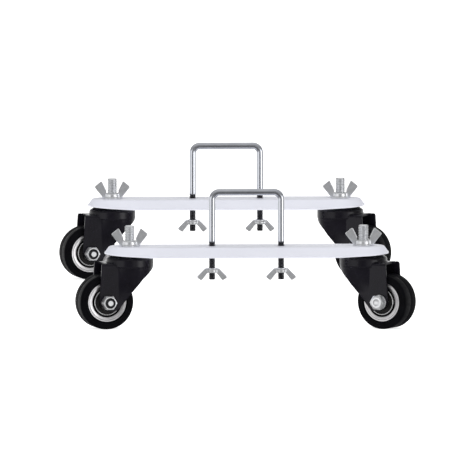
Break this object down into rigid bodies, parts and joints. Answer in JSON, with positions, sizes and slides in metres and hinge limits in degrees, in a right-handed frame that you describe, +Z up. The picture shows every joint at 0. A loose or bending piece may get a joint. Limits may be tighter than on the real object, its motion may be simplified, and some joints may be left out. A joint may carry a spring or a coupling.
{
  "type": "caster clamp bar pair",
  "caption": "Pair of white pressed-steel clamp bars, each with two swivel casters on threaded stems and a square U-bolt with wing nuts, that put wheels under a tube frame.",
  "frame": {"origin": "on the floor, at the middle of the pair's bounding box", "axes": "+Z up, +X along each bar towards its right caster, +Y from the front bar to the rear bar, along the carried tubes"},
  "size_m": [0.3226, 0.5889, 0.1321],
  "materials": {
    "white_powder_coat": "matte white powder coat on pressed steel",
    "black_powder_coat": "satin black powder coat on pressed steel",
    "zinc_wire": "bright zinc-plated drawn wire",
    "zinc_hardware": "bright zinc-plated fasteners",
    "black_tread": "satin black polyurethane tread",
    "bright_rim": "bright pressed rim, fine turned finish",
    "bearing_steel": "polished bearing steel",
    "black_seal": "moulded black seal",
    "black_nylon": "moulded nylon locking ring"
  },
  "bodies": {
    "front_bar": {"front_bar": "white_powder_coat", "front_stems": "zinc_hardware", "front_swivel_caps": "black_powder_coat", "front_swivel_balls": "bearing_steel"},
    "front_u_bolt": {"front_u_bolt": "zinc_wire"},
    "front_left_stem_nut": {"front_left_stem_nut": "zinc_hardware"},
    "front_left_clamp_nut": {"front_left_clamp_nut": "zinc_hardware"},
    "front_left_swivel": {"front_left_fork": "black_powder_coat", "front_left_axle_bolt": "zinc_hardware", "front_left_axle_nut": "zinc_hardware", "front_left_nut_insert": "black_nylon", "front_left_axle_sleeve": "bearing_steel"},
    "front_left_wheel": {"front_left_tyre": "black_tread", "front_left_rim": "bright_rim", "front_left_bearing_cups": "bearing_steel", "front_left_dust_seals": "black_seal", "front_left_bearing_balls": "bearing_steel"},
    "front_right_stem_nut": {"front_right_stem_nut": "zinc_hardware"},
    "front_right_clamp_nut": {"front_right_clamp_nut": "zinc_hardware"},
    "front_right_swivel": {"front_right_fork": "black_powder_coat", "front_right_axle_bolt": "zinc_hardware", "front_right_axle_nut": "zinc_hardware", "front_right_nut_insert": "black_nylon", "front_right_axle_sleeve": "bearing_steel"},
    "front_right_wheel": {"front_right_tyre": "black_tread", "front_right_rim": "bright_rim", "front_right_bearing_cups": "bearing_steel", "front_right_dust_seals": "black_seal", "front_right_bearing_balls": "bearing_steel"},
    "rear_bar": {"rear_bar": "white_powder_coat", "rear_stems": "zinc_hardware", "rear_swivel_caps": "black_powder_coat", "rear_swivel_balls": "bearing_steel"},
    "rear_u_bolt": {"rear_u_bolt": "zinc_wire"},
    "rear_left_stem_nut": {"rear_left_stem_nut": "zinc_hardware"},
    "rear_left_clamp_nut": {"rear_left_clamp_nut": "zinc_hardware"},
    "rear_left_swivel": {"rear_left_fork": "black_powder_coat", "rear_left_axle_bolt": "zinc_hardware", "rear_left_axle_nut": "zinc_hardware", "rear_left_nut_insert": "black_nylon", "rear_left_axle_sleeve": "bearing_steel"},
    "rear_left_wheel": {"rear_left_tyre": "black_tread", "rear_left_rim": "bright_rim", "rear_left_bearing_cups": "bearing_steel", "rear_left_dust_seals": "black_seal", "rear_left_bearing_balls": "bearing_steel"},
    "rear_right_stem_nut": {"rear_right_stem_nut": "zinc_hardware"},
    "rear_right_clamp_nut": {"rear_right_clamp_nut": "zinc_hardware"},
    "rear_right_swivel": {"rear_right_fork": "black_powder_coat", "rear_right_axle_bolt": "zinc_hardware", "rear_right_axle_nut": "zinc_hardware", "rear_right_nut_insert": "black_nylon", "rear_right_axle_sleeve": "bearing_steel"},
    "rear_right_wheel": {"rear_right_tyre": "black_tread", "rear_right_rim": "bright_rim", "rear_right_bearing_cups": "bearing_steel", "rear_right_dust_seals": "black_seal", "rear_right_bearing_balls": "bearing_steel"}
  },
  "joints": [
    {"name": "front_u_bolt_travel", "type": "slide", "parent": "front_bar", "child": "front_u_bolt", "axis": [0, 0, 1], "range_m": [-0.044, 0.019]},
    {"name": "front_left_stem_nut_turn", "type": "hinge", "parent": "front_bar", "child": "front_left_stem_nut", "pos_m": [-0.111, -0.2585, 0.078], "axis": [0, 0, 1], "continuous": true},
    {"name": "front_left_clamp_nut_turn", "type": "hinge", "parent": "front_u_bolt", "child": "front_left_clamp_nut", "pos_m": [-0.03277, -0.2585, 0.057], "axis": [0, 0, 1], "continuous": true},
    {"name": "front_left_swivel_turn", "type": "hinge", "parent": "front_bar", "child": "front_left_swivel", "pos_m": [-0.111, -0.2585, 0.0632], "axis": [0, 0, 1], "continuous": true},
    {"name": "front_left_wheel_spin", "type": "hinge", "parent": "front_left_swivel", "child": "front_left_wheel", "pos_m": [-0.13536, -0.26412, 0.026], "axis": [0.225, -0.9744, 0], "continuous": true},
    {"name": "front_right_stem_nut_turn", "type": "hinge", "parent": "front_bar", "child": "front_right_stem_nut", "pos_m": [0.111, -0.2585, 0.078], "axis": [0, 0, 1], "continuous": true},
    {"name": "front_right_clamp_nut_turn", "type": "hinge", "parent": "front_u_bolt", "child": "front_right_clamp_nut", "pos_m": [0.03277, -0.2585, 0.057], "axis": [0, 0, 1], "continuous": true},
    {"name": "front_right_swivel_turn", "type": "hinge", "parent": "front_bar", "child": "front_right_swivel", "pos_m": [0.111, -0.2585, 0.0632], "axis": [0, 0, 1], "continuous": true},
    {"name": "front_right_wheel_spin", "type": "hinge", "parent": "front_right_swivel", "child": "front_right_wheel", "pos_m": [0.13265, -0.271, 0.026], "axis": [0.5, 0.866, 0], "continuous": true},
    {"name": "bar_spacing", "type": "slide", "parent": "front_bar", "child": "rear_bar", "axis": [0, 1, 0], "range_m": [-0.408, 0.3]},
    {"name": "rear_u_bolt_travel", "type": "slide", "parent": "rear_bar", "child": "rear_u_bolt", "axis": [0, 0, 1], "range_m": [-0.044, 0.019]},
    {"name": "rear_left_stem_nut_turn", "type": "hinge", "parent": "rear_bar", "child": "rear_left_stem_nut", "pos_m": [-0.111, 0.2695, 0.078], "axis": [0, 0, 1], "continuous": true},
    {"name": "rear_left_clamp_nut_turn", "type": "hinge", "parent": "rear_u_bolt", "child": "rear_left_clamp_nut", "pos_m": [-0.03277, 0.2695, 0.057], "axis": [0, 0, 1], "continuous": true},
    {"name": "rear_left_swivel_turn", "type": "hinge", "parent": "rear_bar", "child": "rear_left_swivel", "pos_m": [-0.111, 0.2695, 0.0632], "axis": [0, 0, 1], "continuous": true},
    {"name": "rear_left_wheel_spin", "type": "hinge", "parent": "rear_left_swivel", "child": "rear_left_wheel", "pos_m": [-0.13536, 0.26388, 0.026], "axis": [0.225, -0.9744, 0], "continuous": true},
    {"name": "rear_right_stem_nut_turn", "type": "hinge", "parent": "rear_bar", "child": "rear_right_stem_nut", "pos_m": [0.111, 0.2695, 0.078], "axis": [0, 0, 1], "continuous": true},
    {"name": "rear_right_clamp_nut_turn", "type": "hinge", "parent": "rear_u_bolt", "child": "rear_right_clamp_nut", "pos_m": [0.03277, 0.2695, 0.057], "axis": [0, 0, 1], "continuous": true},
    {"name": "rear_right_swivel_turn", "type": "hinge", "parent": "rear_bar", "child": "rear_right_swivel", "pos_m": [0.111, 0.2695, 0.0632], "axis": [0, 0, 1], "continuous": true},
    {"name": "rear_right_wheel_spin", "type": "hinge", "parent": "rear_right_swivel", "child": "rear_right_wheel", "pos_m": [0.13265, 0.257, 0.026], "axis": [0.5, 0.866, 0], "continuous": true}
  ]
}
